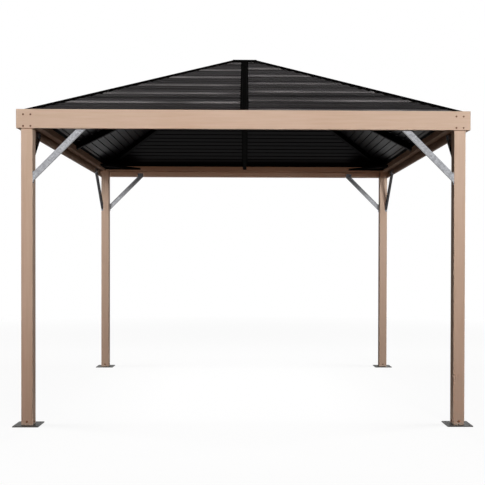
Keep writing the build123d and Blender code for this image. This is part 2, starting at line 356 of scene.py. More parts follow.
    def _soft_edges(self) -> bpy.types.NodeTree:
        """Folds and cut edges that are a little round, with an edge colour along them: rubbed coat and a
        painted highlight on most coats, painted shade on the plates and the zinc.

        Returns:
            A group with the rounded Normal, and the edge mask from 0 on flats to 1 on edges.
        """
        gives = {"Normal": "Vector", "Rub": "Float"}
        shader, given, result = self._open("soft_edges", {"Radius": "Float"}, gives)
        rounded = shader.add("Bevel", {"Radius": given["Radius"]}, samples=self.EDGE_SAMPLES).outputs[0]
        edge_wear_and_shading_mask = shader.spread(shader.dot(rounded, shader.facing()), self.EDGE_TURN, WHOLE)
        shader.feed(result, {"Normal": rounded, "Rub": edge_wear_and_shading_mask})
        return shader.tree

    def _sheet_pans(self) -> bpy.types.NodeTree:
        """Roof sheet: pans that differ a little, a painted highlight on the crest of every fourth rib, and
        painted shade on the underside.

        Pans are counted down the slope from the first rib. The painted highlights of the two panels are a
        rib apart.

        Returns:
            A group with the pan's tone, the painted highlight on the ribs and the painted shade of the
            underside, each from 0 to 1. First and Pitch are plan lengths down the slope.
        """
        takes = {"Place": "Vector", "Down": "Vector", "Along": "Vector", "First": "Float", "Pitch": "Float"}
        gives = {"Pan": "Float", "Lap": "Float", "Under": "Float"}
        shader, given, result = self._open("sheet_pans", takes, gives)
        down = shader.dot(given["Place"], given["Down"])
        along = shader.dot(given["Place"], given["Along"])
        below = shader.math("SUBTRACT", shader.math("ABSOLUTE", down), given["First"])
        steps = shader.math("DIVIDE", below, given["Pitch"])
        hand = shader.math("GREATER_THAN", along, 0.0)
        count = shader.math("ADD", shader.math("FLOOR", steps), hand)
        turn = shader.math("FLOORED_MODULO", count, self.HIGHLIGHT_EVERY)
        fourth = shader.math("LESS_THAN", turn, self.HALF_COUNT)
        crest = shader.math("LESS_THAN", shader.math("FRACT", steps), self.CREST_SHARE)
        apart = shader.math("MULTIPLY", count, self.WAVE_STEP)
        drawn = shader.math("ADD", shader.math("MULTIPLY", along, self.WAVE_SCALE), apart)
        waves = shader.add("TexNoise", {"W": drawn, "Scale": 1.0, "Detail": 1.0}, noise_dimensions="1D")
        bright = shader.spread(waves.outputs[0], self.WAVE_BODY, self.WAVE_LEVELS)
        # painted highlight: the crest of every fourth rib is brightened in waves along it
        lap = shader.math("MULTIPLY", shader.math("MULTIPLY", fourth, crest), bright)
        pan = shader.add("TexWhiteNoise", {"W": count}, noise_dimensions="1D").outputs[0]
        normal = shader.facing()
        outward = shader.math("MULTIPLY", shader.dot(normal, given["Down"]), shader.math("SIGN", down))
        leaving = shader.math("ADD", shader.upright(normal), shader.math("MULTIPLY", outward, self.SLOPE))
        # painted shade: marks the faces that look down for the darker underside colour
        under = shader.spread(leaving, self.UNDER_TURN, WHOLE)
        shader.feed(result, {"Pan": pan, "Lap": lap, "Under": under})
        return shader.tree


@dataclass(frozen=True)
class CoatFinish:
    """A baked coat on steel.

    Attributes:
        name: of the material.
        deep: its darker tone, as a screen colour.
        pale: its lighter tone.
        edge_wear_and_shading: its colour along edges, rubbed coat with a painted highlight where it is paler
            than the coat and painted shade where it is darker.
        dusty: colour of the dust on it.
        run: which way its streaks run.
        streaks: streaks to a metre, across them.
        roughness: on its smooth parts.
        roughness_swing: how much rougher its deep parts are.
        specular: level of its gloss.
        rub_share: how much the edge colour shows.
        dust_share: how much dust shows.
        scuff_share: how much the paler band above the ground shows.
        skin: depth of its pebbles.
        edge: radius of its folds and edges.
        lap: colour of the painted highlight on the crests of some ribs, on roof sheet only.
        underside_shade: colour of the painted shade on the side that looks down, on roof sheet only.
    """

    name: str
    deep: Colour
    pale: Colour
    edge_wear_and_shading: Colour
    dusty: Colour = DUST
    run: Run = Run.EVEN
    streaks: float = 60.0
    roughness: float = 0.42
    roughness_swing: float = 0.12
    specular: float = 0.35
    rub_share: float = 0.25
    dust_share: float = 0.1
    scuff_share: float = 0.0
    skin: float = 0.0002
    edge: float = 0.003
    lap: Colour | None = None
    underside_shade: Colour | None = None

    FIRST_RIB = 0.1397  # in plan, from the middle of the roof
    RIB_PITCH = 0.05457  # in plan, down a slope
    PAN_SHARE = 0.5  # of the tone of roof sheet
    PEBBLES = 420.0  # to a metre
    SKIN_STRENGTH = 0.5

    def material(self, effects: Effects) -> bpy.types.Material:
        """Make the coat from its two tones, its edges, its dust and its skin.

        Args:
            effects: the shared groups.

        Returns:
            The material.
        """
        material, shader = empty_material(self.name)
        place = shader.add("TexCoord").outputs["Object"]
        drawn = {"Place": place, "Squeeze": self.run.value, "Streaks": self.streaks, "Pebbles": self.PEBBLES}
        tone = shader.add("Group", drawn, node_tree=effects.coat).outputs
        dust = shader.add("Group", {"Place": place, "Band": PALE_FOOT_BAND}, node_tree=effects.dust).outputs
        edges = shader.add("Group", {"Radius": self.edge}, node_tree=effects.edges).outputs
        # edges take the edge colour, which is rubbed coat with a painted highlight where it is paler than
        # the coat and painted shade where it is darker
        edge_wear_and_shading_mask = shader.math("MULTIPLY", edges["Rub"], self.rub_share)
        if self.lap and self.underside_shade:
            colour = self._sheet_colour(shader, effects, place, tone["Tone"], edge_wear_and_shading_mask)
        else:
            colour = shader.blend(tone["Tone"], linear(self.deep), linear(self.pale))
            colour = shader.blend(edge_wear_and_shading_mask, colour, linear(self.edge_wear_and_shading))
        laid = shader.math("MULTIPLY", dust["Dust"], self.dust_share)
        pale_foot = shader.math("MULTIPLY", dust["Scuff"], self.scuff_share)
        colour = shader.blend(shader.math("ADD", laid, pale_foot, clamp=True), colour, linear(self.dusty))
        rough = shader.spread(tone["Tone"], WHOLE, (self.roughness + self.roughness_swing, self.roughness))
        pebbled = {
            "Height": tone["Skin"],
            "Normal": edges["Normal"],
            "Distance": self.skin,
            "Strength": self.SKIN_STRENGTH,
        }
        coat = {
            "Base Color": colour,
            "Roughness": shader.math("ADD", rough, laid),
            "Normal": shader.add("Bump", pebbled).outputs[0],
            "Specular IOR Level": self.specular,
        }
        surface = shader.add("BsdfPrincipled", coat)
        shader.add("OutputMaterial", {"Surface": surface.outputs[0]})
        return material

    def _sheet_colour(
        self, shader: Shader, effects: Effects, place: Socket, tone: Socket, edge_wear_and_shading_mask: Socket
    ) -> Socket:
        """Colour roof sheet pan by pan, down a slope at the front and rear or at the sides.

        Args:
            shader: the tree to work in.
            effects: the shared groups.
            place: the object's own coordinates.
            tone: the uneven tone of the coat.
            edge_wear_and_shading_mask: how far the edge colour shows, rubbed coat with a painted highlight
                along the ribs.

        Returns:
            The socket that holds the colour.
        """
        across, deep = (1.0, 0.0, 0.0), (0.0, 1.0, 0.0)
        down, along = (deep, across) if self.run is Run.FRONT_SLOPE else (across, deep)
        counted = {
            "Place": place,
            "Down": down,
            "Along": along,
            "First": self.FIRST_RIB,
            "Pitch": self.RIB_PITCH,
        }
        pans = shader.add("Group", counted, node_tree=effects.pans).outputs
        shade = shader.spread(pans["Pan"], WHOLE, (0.0, self.PAN_SHARE))
        shade = shader.math("ADD", shade, shader.math("MULTIPLY", tone, 1.0 - self.PAN_SHARE))
        colour = shader.blend(shade, linear(self.deep), linear(self.pale))
        colour = shader.blend(edge_wear_and_shading_mask, colour, linear(self.edge_wear_and_shading))
        # painted highlight on the crests of every fourth rib
        colour = shader.blend(pans["Lap"], colour, linear(self.lap))
        # painted shade: the side that looks down takes the near-black underside colour
        return shader.blend(pans["Under"], colour, linear(self.underside_shade))


@dataclass(frozen=True)
class GalvanisedFinish:
    """Hot-dipped zinc: crystals of slightly different greys, dull streaks, and painted shade along the edges
    and on the undersides.

    Attributes:
        name: of the material.
        dark: its darkest crystals, as a screen colour.
        light: its lightest crystals.
        edge_wear_and_shading: its colour on edges, a painted shade darker than most crystals.
        shaded_underside: colour of the painted shade on its undersides.
        dusty: colour of the dust on it.
        crystals: crystals to a metre.
        roughness: of its brightest crystals.
        roughness_swing: how much rougher its darkest crystals are.
        rub_share: how much the edge colour shows.
        dust_share: how much dust shows.
        skin: depth of its crystals.
        edge: radius of its folds and edges.
    """

    name: str
    dark: Colour
    light: Colour
    edge_wear_and_shading: Colour
    shaded_underside: Colour
    dusty: Colour = DUST
    crystals: float = 95.0
    roughness: float = 0.18
    roughness_swing: float = 0.1
    rub_share: float = 0.35
    dust_share: float = 0.15
    skin: float = 0.0001
    edge: float = 0.002

    STREAKS = 30.0  # to a metre, as all scales here
    PEBBLES = 300.0
    SWIRL_SCALE = 40.0
    SWIRL_DETAIL = 2.0
    WARP = 0.012  # how far the swirl bends the crystals
    GRIT_SCALE = 2.7  # small crystals to a large one
    GRAIN_SHARE = 0.5  # of the large crystals in the tone
    GRIT_SHARE = 0.25  # of the small ones
    STAIN_SHARE = 0.35  # of the cloudy stains
    UNDERSIDE = (-0.3, -0.6)  # upward part of the normal, from no painted shade to full painted shade
    SKIN_STRENGTH = 0.1

    def material(self, effects: Effects) -> bpy.types.Material:
        """Make the zinc from two sizes of crystal, cloudy stains, edges and dust.

        Args:
            effects: the shared groups.

        Returns:
            The material.
        """
        material, shader = empty_material(self.name)
        place = shader.add("TexCoord").outputs["Object"]
        drawn = {"Place": place, "Squeeze": Run.EVEN.value, "Streaks": self.STREAKS, "Pebbles": self.PEBBLES}
        tone = shader.add("Group", drawn, node_tree=effects.coat).outputs
        dust = shader.add("Group", {"Place": place, "Band": PALE_FOOT_BAND}, node_tree=effects.dust).outputs
        edges = shader.add("Group", {"Radius": self.edge}, node_tree=effects.edges).outputs
        crystal = self._crystals(shader, place, tone["Tone"])
        colour = shader.blend(crystal, linear(self.dark), linear(self.light))
        # painted shade: edges take the darker edge colour
        edge_wear_and_shading_mask = shader.math("MULTIPLY", edges["Rub"], self.rub_share)
        colour = shader.blend(edge_wear_and_shading_mask, colour, linear(self.edge_wear_and_shading))
        laid = shader.math("MULTIPLY", dust["Dust"], self.dust_share)
        colour = shader.blend(laid, colour, linear(self.dusty))
        # painted shade: faces that look down take the darker underside colour
        under = shader.spread(shader.upright(shader.facing()), self.UNDERSIDE, WHOLE)
        rough = shader.spread(crystal, WHOLE, (self.roughness + self.roughness_swing, self.roughness))
        raised = {
            "Height": crystal,
            "Normal": edges["Normal"],
            "Distance": self.skin,
            "Strength": self.SKIN_STRENGTH,
        }
        zinc = {
            "Base Color": shader.blend(under, colour, linear(self.shaded_underside)),
            "Metallic": 1.0,
            "Roughness": rough,
            "Normal": shader.add("Bump", raised).outputs[0],
        }
        surface = shader.add("BsdfPrincipled", zinc)
        shader.add("OutputMaterial", {"Surface": surface.outputs[0]})
        return material

    def _crystals(self, shader: Shader, place: Socket, stains: Socket) -> Socket:
        """Grow large and small crystals with bent edges, and add the stains.

        Args:
            shader: the tree to work in.
            place: the object's own coordinates.
            stains: level of the cloudy stains.

        Returns:
            The socket that holds the level of grey, from 0 to 1.
        """
        swirl = {"Vector": place, "Scale": self.SWIRL_SCALE, "Detail": self.SWIRL_DETAIL}
        swirl_colour = shader.add("TexNoise", swirl).outputs[1]
        bend = shader.add("VectorMath", {0: swirl_colour, 3: self.WARP}, operation="SCALE").outputs[0]
        bent = shader.add("VectorMath", {0: place, 1: bend}, operation="ADD").outputs[0]
        large = shader.add("TexVoronoi", {"Vector": bent, "Scale": self.crystals}).outputs["Color"]
        finer = self.crystals * self.GRIT_SCALE
        small = shader.add("TexVoronoi", {"Vector": bent, "Scale": finer}).outputs["Color"]
        grain = shader.math("MULTIPLY", shader.add("SeparateColor", {0: large}).outputs[0], self.GRAIN_SHARE)
        grit = shader.math("MULTIPLY", shader.add("SeparateColor", {0: small}).outputs[1], self.GRIT_SHARE)
        stained = shader.math("MULTIPLY", stains, self.STAIN_SHARE)
        return shader.math("ADD", shader.math("ADD", grain, grit), stained, clamp=True)


TAN_COAT = CoatFinish(
    name="tan_coat",
    deep=(194, 168, 147),
    pale=(207, 184, 166),
    # paler edge colour: rubbed coat and a painted highlight along the folds
    edge_wear_and_shading=(222, 205, 192),
    dusty=(196, 190, 180),
    streaks=70.0,
    roughness=0.5,
    specular=0.02,
    dust_share=0.15,
    scuff_share=0.55,
)
CHARCOAL_SHEET = CoatFinish(
    name="charcoal_sheet",
    deep=(16, 16, 17),
    pale=(68, 67, 68),
    # painted highlight: paler edge colour for glints along the edges of the ribs
    edge_wear_and_shading=(96, 94, 94),
    # painted highlight on the crests of every fourth rib
    lap=(116, 114, 115),
    # painted shade on the underside of the sheet
    underside_shade=(16, 14, 16),
    streaks=22.0,
    roughness=0.26,
    specular=0.03,
    dust_share=0.04,
    edge=0.0012,
)
BLACK_COAT = CoatFinish(
    name="black_coat",
    deep=(3, 3, 3),
    pale=(8, 7, 7),
    # painted highlight: paler edge colour for the light line along the edges of the rafters and caps
    edge_wear_and_shading=(24, 23, 23),
    roughness=0.5,
    specular=0.015,
    dust_share=0.003,
    edge=0.0015,
)
PLATE_COAT = CoatFinish(
    name="plate_coat",
    deep=(56, 55, 54),
    pale=(78, 77, 76),
    # painted shade: near-black edge colour, shown almost fully, for the shade along the edges of the plates
    edge_wear_and_shading=(12, 11, 11),
    roughness=0.34,
    specular=0.28,
    rub_share=0.95,
    dust_share=0.12,
    edge=0.0025,
)
BROWN_BOLT_COAT = CoatFinish(
    name="brown_bolt_coat",
    deep=(98, 68, 52),
    pale=(124, 90, 72),
    edge_wear_and_shading=(140, 112, 94),
    specular=0.3,
    edge=0.0006,
)
RUSSET_SCREW_COAT = CoatFinish(
    name="russet_screw_coat",
    deep=(122, 86, 66),
    pale=(150, 110, 88),
    edge_wear_and_shading=(160, 128, 108),
    specular=0.3,
    edge=0.0006,
)
GALVANISED_ZINC = GalvanisedFinish(
    name="galvanised_zinc",
    dark=(142, 143, 147),
    light=(194, 195, 199),
    # painted shade: edge colour darker than most crystals
    edge_wear_and_shading=(150, 150, 153),
    # painted shade on the undersides
    shaded_underside=(62, 61, 63),
)


class Finishes:
    """Every finish on the gazebo, made once."""

    def __init__(self, effects: Effects) -> None:
        """Make the materials.

        Args:
            effects: the shared shader groups.
        """
        self.tan = self._by_run(TAN_COAT, effects, (Run.ACROSS, Run.DEEP, Run.UPRIGHT))
        self.sheet = self._by_run(CHARCOAL_SHEET, effects, (Run.FRONT_SLOPE, Run.SIDE_SLOPE))
        self.black = BLACK_COAT.material(effects)
        self.plate = PLATE_COAT.material(effects)
        self.brown = BROWN_BOLT_COAT.material(effects)
        self.russet = RUSSET_SCREW_COAT.material(effects)
        self.zinc = GALVANISED_ZINC.material(effects)

    @staticmethod
    def _by_run(coat: CoatFinish, effects: Effects, runs: tuple[Run, ...]) -> dict[Run, bpy.types.Material]:
        """Make one coat for each way that its pieces run.

        Args:
            coat: the finish.
            effects: the shared shader groups.
            runs: the ways.

        Returns:
            The material for each way.
        """
        materials = {}
        for run in runs:
            materials[run] = replace(coat, name=f"{coat.name}_{run.name.lower()}", run=run).material(effects)
        return materials


@dataclass(frozen=True)
class HeadShape:
    """Head of a screw or bolt, as rings round its axis.

    Attributes:
        drive: how it is turned.
        radius: of the head, to the corners where it is six-sided.
        height: of the head above its seat.
        washer: radius of the washer under a six-sided head, or 0 for none.
        washer_height: thickness of the washer.
        sides: points round the head.
    """

    drive: Drive
    radius: float
    height: float
    washer: float = 0.0
    washer_height: float = 0.0
    sides: int = 24

    SOCKET_SHARE = 0.46  # of the head's radius
    SOCKET_LIP = 0.08  # of the head's radius, between the socket and the dome
    SOCKET_DEPTH_SHARE = 0.55  # of the head's height
    DOME_RINGS = 4
    CHAMFER_SHARE = 0.87  # of the radius and the height of a six-sided head
    SINK_SHARE = 0.15  # of the head's height, below the seat

    def rings(self) -> tuple[np.ndarray, np.ndarray, np.ndarray]:
        """Work out the rings from the middle of the top, over the head and down past the seat.

        A domed head is part of an ellipse. At an angle t from its axis a ring's radius is the head's radius
        times the sine of t, and its height is the head's height times the cosine of t. The socket drops
        straight into the dome. A six-sided head has a chamfered top, straight sides and, where it has one,
        a round washer under it.

        Returns:
            The radius and the height of each ring, and 1 where the ring is six-sided.
        """
        sink = -self.height * self.SINK_SHARE
        if self.drive is Drive.SOCKET:
            socket = self.radius * self.SOCKET_SHARE
            turn = np.linspace(math.asin(self.SOCKET_SHARE + self.SOCKET_LIP), math.pi / 2, self.DOME_RINGS)
            dome_radius = self.radius * np.sin(turn)
            dome_height = self.height * np.cos(turn)
            floor = dome_height[0] - self.height * self.SOCKET_DEPTH_SHARE
            radius = np.concatenate(([socket, socket], dome_radius, [self.radius]))
            height = np.concatenate(([floor, dome_height[0]], dome_height, [sink]))
            six = np.concatenate(([1.0, 1.0], np.zeros(len(turn) + 1)))
        else:
            foot = self.washer_height if self.washer else sink
            radius = self.radius * np.array([self.CHAMFER_SHARE, 1.0, 1.0])
            height = np.array([self.height, self.height * self.CHAMFER_SHARE, foot])
            six = np.array([0.0, 1.0, 1.0])
            if self.washer:
                radius = np.concatenate((radius, [self.washer, self.washer]))
                height = np.concatenate((height, [self.washer_height, sink]))
                six = np.concatenate((six, [0.0, 0.0]))
        return radius, height, six

    def surface(self) -> tuple[np.ndarray, np.ndarray, np.ndarray]:
        """Turn the rings round the axis.

        A point at ring v and angle u lies at radius r(v) k(u) and height h(v). On a round ring k is 1. On a
        six-sided ring it is the cosine of 30 degrees over the cosine of the angle from the middle of the
        nearest flat, so the ring is a hexagon. One point closes the top and one closes the bottom.

        Returns:
            The points of one head with its axis along +Z and its seat at 0, its four-sided faces and the
            three-sided ones that close it.
        """
        radius, height, six = self.rings()
        angle = np.linspace(0.0, 2.0 * math.pi, self.sides, endpoint=False)
        hexagon = math.cos(math.pi / 6) / np.cos(angle % (math.pi / 3) - math.pi / 6)
        reach = radius[:, None] * (1.0 + six[:, None] * (hexagon[None, :] - 1.0))
        x = reach * np.cos(angle)
        y = reach * np.sin(angle)
        z = np.broadcast_to(height[:, None], x.shape)
        points = np.stack((x, y, z), axis=-1).reshape(-1, 3)
        points = np.vstack((points, [0.0, 0.0, height[0]], [0.0, 0.0, height[-1]]))
        ring = np.arange(self.sides)
        after = (ring + 1) % self.sides
        upper = np.arange(len(radius) - 1)[:, None] * self.sides
        lower = upper + self.sides
        quads = np.stack((upper + ring, lower + ring, lower + after, upper + after), axis=-1).reshape(-1, 4)
        last = (len(radius) - 1) * self.sides
        top = np.stack((ring, after, np.full(self.sides, len(points) - 2)), axis=-1)
        bottom = np.stack((last + after, last + ring, np.full(self.sides, len(points) - 1)), axis=-1)
        return points, quads, np.vstack((top, bottom))


@dataclass
class Fasteners:
    """A set of like screws or bolts, each seated square on the piece that it holds.

    Attributes:
        name: of the joined mesh.
        head: shape of each head.
        material: its finish.
        slot: the record's slot that the finish belongs to; not used.
        seats: where each one sits.
        normals: which way each one points.
    """

    name: str
    head: HeadShape
    material: bpy.types.Material
    slot: str
    seats: list[Vector] = field(default_factory=list)
    normals: list[Vector] = field(default_factory=list)

    REACH = 0.25  # how far a seat is looked for
    STEEP = 0.8  # upward part of a normal, past which a head is lined up by +X and not by +Z
    SEED = 7

    def seat(self, node: bpy.types.Object, start: Vector, towards: Vector) -> None:
        """Find the surface of a piece from a point outside it, and put a fastener there.

        Args:
            node: the piece.
            start: a point off its surface.
            towards: the way to its surface.

        Raises:
            ValueError: if no surface is there.
        """
        hit, place, normal, _ = node.ray_cast(start, towards.normalized(), distance=self.REACH)
        if not hit:
            raise ValueError(f"{self.name} finds no seat on {node.name} from {tuple(start)}")
        self.seats.append(place)
        self.normals.append(normal)

    def build(self) -> bpy.types.Object:
        """Copy the head to every seat in one joined mesh.

        A point p of the head goes to s + p.x a + p.y b + p.z n, where s is the seat and n its normal. The
        ways a and b are square to n and turned by a seeded angle, as fasteners are when they are tight.

        Returns:
            The joined piece, riding on the frame.
        """
        points, quads, triangles = self.head.surface()
        seats = np.array(self.seats)
        normals = np.array(self.normals)
        normals /= np.linalg.norm(normals, axis=1, keepdims=True)
        helper = np.where(np.abs(normals[:, 2:3]) > self.STEEP, [[1.0, 0.0, 0.0]], [[0.0, 0.0, 1.0]])
        first = np.cross(helper, normals)
        first /= np.linalg.norm(first, axis=1, keepdims=True)
        second = np.cross(normals, first)
        turn = np.random.default_rng(self.SEED).uniform(0.0, math.pi / 3, len(seats))[:, None]
        along = np.cos(turn) * first + np.sin(turn) * second
        across = np.cos(turn) * second - np.sin(turn) * first
        frames = np.stack((along, across, normals), axis=1)
        placed = seats[:, None, :] + np.einsum("vk,nkj->nvj", points, frames)
        shift = np.arange(len(seats))[:, None, None] * len(points)
        faces = (quads + shift).reshape(-1, 4).tolist() + (triangles + shift).reshape(-1, 3).tolist()
        mesh = bpy.data.meshes.new(self.name)
        mesh.from_pydata(placed.reshape(-1, 3).tolist(), [], faces)
        mesh.update()
        mesh.materials.append(self.material)
        piece = bpy.data.objects.new(self.name, mesh)
        bpy.context.scene.collection.objects.link(piece)
        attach(piece, BODY)
        LOG.info("%s: %d heads, %d faces", self.name, len(seats), len(faces))
        return piece


@dataclass
class SubAssembly:
    """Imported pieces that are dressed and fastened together.

    Attributes:
        nodes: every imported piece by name.
        finishes: what they are coated with.
        stand_off: distance from a surface at which the look for a seat starts.
    """

    nodes: dict[str, bpy.types.Object]
    finishes: Finishes
    stand_off: float = 0.03

    def dress(self) -> None:
        """Give each piece its finish."""
        raise NotImplementedError

    def fasten(self) -> None:
        """Add the screws or bolts that hold the pieces."""
        raise NotImplementedError

    def coat(self, name: str, material: bpy.types.Material) -> None:
        """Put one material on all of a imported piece.

        Args:
            name: of the piece.
            material: its finish.
        """
        slots = self.nodes[name].data.materials
        slots.clear()
        slots.append(material)
        LOG.info("%s: %s", name, material.name)

    def points(self, name: str) -> np.ndarray:
        """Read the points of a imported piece.

        Args:
            name: of the piece.

        Returns:
            One row of x, y and z for each point.
        """
        vertices = self.nodes[name].data.vertices
        points = np.empty(len(vertices) * 3, np.float32)
        vertices.foreach_get("co", points)
        return points.reshape(-1, 3)


@dataclass
class Eaves(SubAssembly):
    """Fascia and rails round the eaves, with the gussets and closers behind them.

    Attributes:
        bolt: head of the bolts at the ends of the fascia.
        bolt_from_end: from the outer corner, along the fascia, to the two columns of bolts.
        bolt_rise: from the underside of the fascia to the two rows of bolts.
    """

    bolt: HeadShape = HeadShape(Drive.SOCKET, radius=0.0065, height=0.0035)
    bolt_from_end: tuple[float, float] = (0.046, 0.094)
    bolt_rise: tuple[float, float] = (0.0145, 0.0905)

    def dress(self) -> None:
        """Coat the fascia and the rails tan, and what lies behind them black."""
        for side, (right, _) in SIDES.items():
            tan = self.finishes.tan[Run.DEEP if right else Run.ACROSS]
            self.coat(f"{side}_fascia", tan)
            self.coat(f"{side}_eave_rail", tan)
        self.coat("corner_gussets", self.finishes.black)
        self.coat("eave_closers", self.finishes.black)

    def fasten(self) -> None:
        """Bolt the ends of each fascia to the posts, four to an end."""
        bolts = Fasteners("fascia_bolts", self.bolt, self.finishes.brown, "plate_coat")
        low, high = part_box("front_fascia")
        for side, out in SIDES.items():
            outwards = Vector((*out, 0.0))
            for end in (-1.0, 1.0):
                for inset in self.bolt_from_end:
                    for rise in self.bolt_rise:
                        start = beside(out, high.x + self.stand_off, end * (high.x - inset), low.z + rise)
                        bolts.seat(self.nodes[f"{side}_fascia"], start, -outwards)
        bolts.build()


@dataclass
class Posts(SubAssembly):
    """Four posts on their anchor plates.

    Attributes:
        screw: head of the screws at the feet.
        screw_rise: from the ground to the screws.
    """

    screw: HeadShape = HeadShape(Drive.HEX, radius=0.0085, height=0.004)
    screw_rise: float = 0.027

    def dress(self) -> None:
        """Coat the posts tan and their plates dark grey."""
        for corner in CORNERS:
            self.coat(f"{corner}_post", self.finishes.tan[Run.UPRIGHT])
            self.coat(f"{corner}_base_plate", self.finishes.plate)

    def fasten(self) -> None:
        """Screw each post to its spigot through the middle of every face."""
        screws = Fasteners("foot_screws", self.screw, self.finishes.russet, "plate_coat")
        for corner in CORNERS:
            low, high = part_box(f"{corner}_post")
            middle = (low + high) / 2
            reach = (high.x - low.x) / 2 + self.stand_off
            for out in SIDES.values():
                outwards = Vector((*out, 0.0))
                start = Vector((middle.x, middle.y, self.screw_rise)) + outwards * reach
                screws.seat(self.nodes[f"{corner}_post"], start, -outwards)
        screws.build()


@dataclass
class KneeBraces(SubAssembly):
    """Two zinc braces from each post to the fascia.

    Attributes:
        screw: head of their screws.
        tab_inset: from the end of a tab to its screw.
        tab_clear: from a post's face to where the look for a tab starts.
        head_shift: from the middle of a brace's head to its two screws.
        head_drop: from the top of a brace to those screws.
        clear_of_post: from a post's outer face to where its two braces no longer share a line.
        same_plane: how near two points of one plane lie.
    """

    screw: HeadShape = HeadShape(Drive.SOCKET, radius=0.0045, height=0.0028, sides=18)
    tab_inset: float = 0.006
    tab_clear: float = 0.006
    head_shift: float = 0.012
    head_drop: float = 0.019
    clear_of_post: float = 0.09
    same_plane: float = 1e-4

    def dress(self) -> None:
        """Leave the braces in bare zinc."""
        for corner in CORNERS:
            self.coat(f"{corner}_knee_braces", self.finishes.zinc)

    def fasten(self) -> None:
        """Screw the braces' tabs to the posts, and their heads to the fascia from inside."""
        screws = Fasteners("brace_screws", self.screw, self.finishes.plate, "plate_coat")
        depth, reach, (tab_low, tab_high) = self.measure()
        for corner, (right, back) in CORNERS.items():
            brace = self.nodes[f"{corner}_knee_braces"]
            low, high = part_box(f"{corner}_knee_braces")
            post_low, post_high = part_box(f"{corner}_post")
            inner = min(abs(post_low.x), abs(post_high.x))
            line = max(abs(low.x), abs(high.x)) - depth / 2
            across, deep = Vector((right, 0.0, 0.0)), Vector((0.0, back, 0.0))
            for along, outwards in ((-across, deep), (-deep, across)):
                foot = outwards * line - along * inner
                for height in (tab_low + self.tab_inset, tab_high - self.tab_inset):
                    screws.seat(brace, foot + along * self.tab_clear + UP * height, -along)
                for shift in (-self.head_shift, self.head_shift):
                    start = foot + along * (reach + shift) - outwards * self.stand_off
                    screws.seat(brace, start + UP * (high.z - self.head_drop), outwards)
        screws.build()

    def measure(self) -> tuple[float, float, Range]:
        """Measure the front brace of the front left post.

        Returns:
            The depth of its channel from the web to the edges of its flanges, the distance from the post to
            the middle of its head, and the heights of the lower and upper ends of its tab.
        """
        x, y, z = self.points("front_left_knee_braces").T
        low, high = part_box("front_left_post")
        front = y[x > low.x + self.clear_of_post]
        top = x[(z > z.max() - self.same_plane) & (x > high.x)]
        tab = z[np.abs(x - high.x) < self.same_plane]
        reach = float(top.min() + top.max()) / 2 - high.x
        return float(front.max() - front.min()), reach, (float(tab.min()), float(tab.max()))


@dataclass
class Roof(SubAssembly):
    """Ribbed sheet on rafters, with strips over the joints, caps over the hips and a cap at the peak.

    Attributes:
        screw: head of the screws, each on a washer.
        screws: how many lie along each edge of a strip or a hip cap.
        strip_edge: from the edge of a strip to its screws.
        strip_end: from the end of a strip to its first screw, in plan.
        cap_edge: from the edge of a hip cap to its screws.
        cap_end: from the end of a hip cap to its first screw, along either side in plan.
    """

    screw: HeadShape = HeadShape(
        Drive.HEX, radius=0.0035, height=0.004, washer=0.0046, washer_height=0.001, sides=12
    )
    screws: int = 6
    strip_edge: float = 0.005
    strip_end: float = 0.03
    cap_edge: float = 0.0075
    cap_end: float = 0.06

    def dress(self) -> None:
        """Coat the sheet charcoal, and its rafters, strips and caps black."""
        black = self.finishes.black
        for side, (right, _) in SIDES.items():
            sheet = self.finishes.sheet[Run.SIDE_SLOPE if right else Run.FRONT_SLOPE]
            self.coat(f"{side}_roof_panels", sheet)
            self.coat(f"{side}_centre_rafter", black)
            self.coat(f"{side}_joint_strip", black)
        for corner in CORNERS:
            self.coat(f"{corner}_hip_rafter", black)
            self.coat(f"{corner}_hip_cap", black)
        self.coat("crown_box", black)
        self.coat("top_cap", black)

    def fasten(self) -> None:
        """Screw down the strips, and then the hip caps."""
        self.strip_screws()
        self.cap_screws()

    def strip_screws(self) -> bpy.types.Object:
        """Screw both edges of each joint strip to the ribs under it.

        Returns:
            The joined screws.
        """
        screws = Fasteners("strip_screws", self.screw, self.finishes.black, "black_coat")
        low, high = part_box("front_joint_strip")
        distances = np.linspace(self.strip_end - high.y, -low.y - self.strip_end, self.screws).tolist()
        for side, out in SIDES.items():
            for distance in distances:
                for edge in (low.x + self.strip_edge, high.x - self.strip_edge):
                    start = beside(out, distance, edge, self.level(distance))
                    screws.seat(self.nodes[f"{side}_joint_strip"], start, -UP)
        return screws.build()

    def cap_screws(self) -> bpy.types.Object:
        """Screw both edges of each hip cap to the ribs of its two slopes.

        Returns:
            The joined screws.
        """
        screws = Fasteners("cap_screws", self.screw, self.finishes.black, "black_coat")
        low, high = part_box("front_left_hip_cap")
        distances = np.linspace(self.cap_end - high.x, -low.x - self.cap_end, self.screws).tolist()
        half_width = self.cap_half_width() - self.cap_edge
        for corner, (right, back) in CORNERS.items():
            along = Vector((right, back, 0.0))
            across = Vector((-back, right, 0.0)).normalized()
            for distance in distances:
                height = self.level(distance) + self.stand_off
                for edge in (-half_width, half_width):
                    start = along * distance + across * edge + UP * height
                    screws.seat(self.nodes[f"{corner}_hip_cap"], start, -UP)
        return screws.build()

    def level(self, distance: float) -> float:
        """Work out a height just over a joint strip, at a plan distance from the centre.

        Args:
            distance: from the centre.

        Returns:
            The height, a stand-off above the strip's line from end to end.
        """
        low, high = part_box("front_joint_strip")
        share = (distance + high.y) / (high.y - low.y)
        return high.z + share * (low.z - high.z) + self.stand_off

    def cap_half_width(self) -> float:
        """Measure half of the width of a hip cap, square to its line in plan."""
        x, y, _ = self.points("front_left_hip_cap").T
        return float(np.abs(x - y).max() / math.sqrt(2.0))


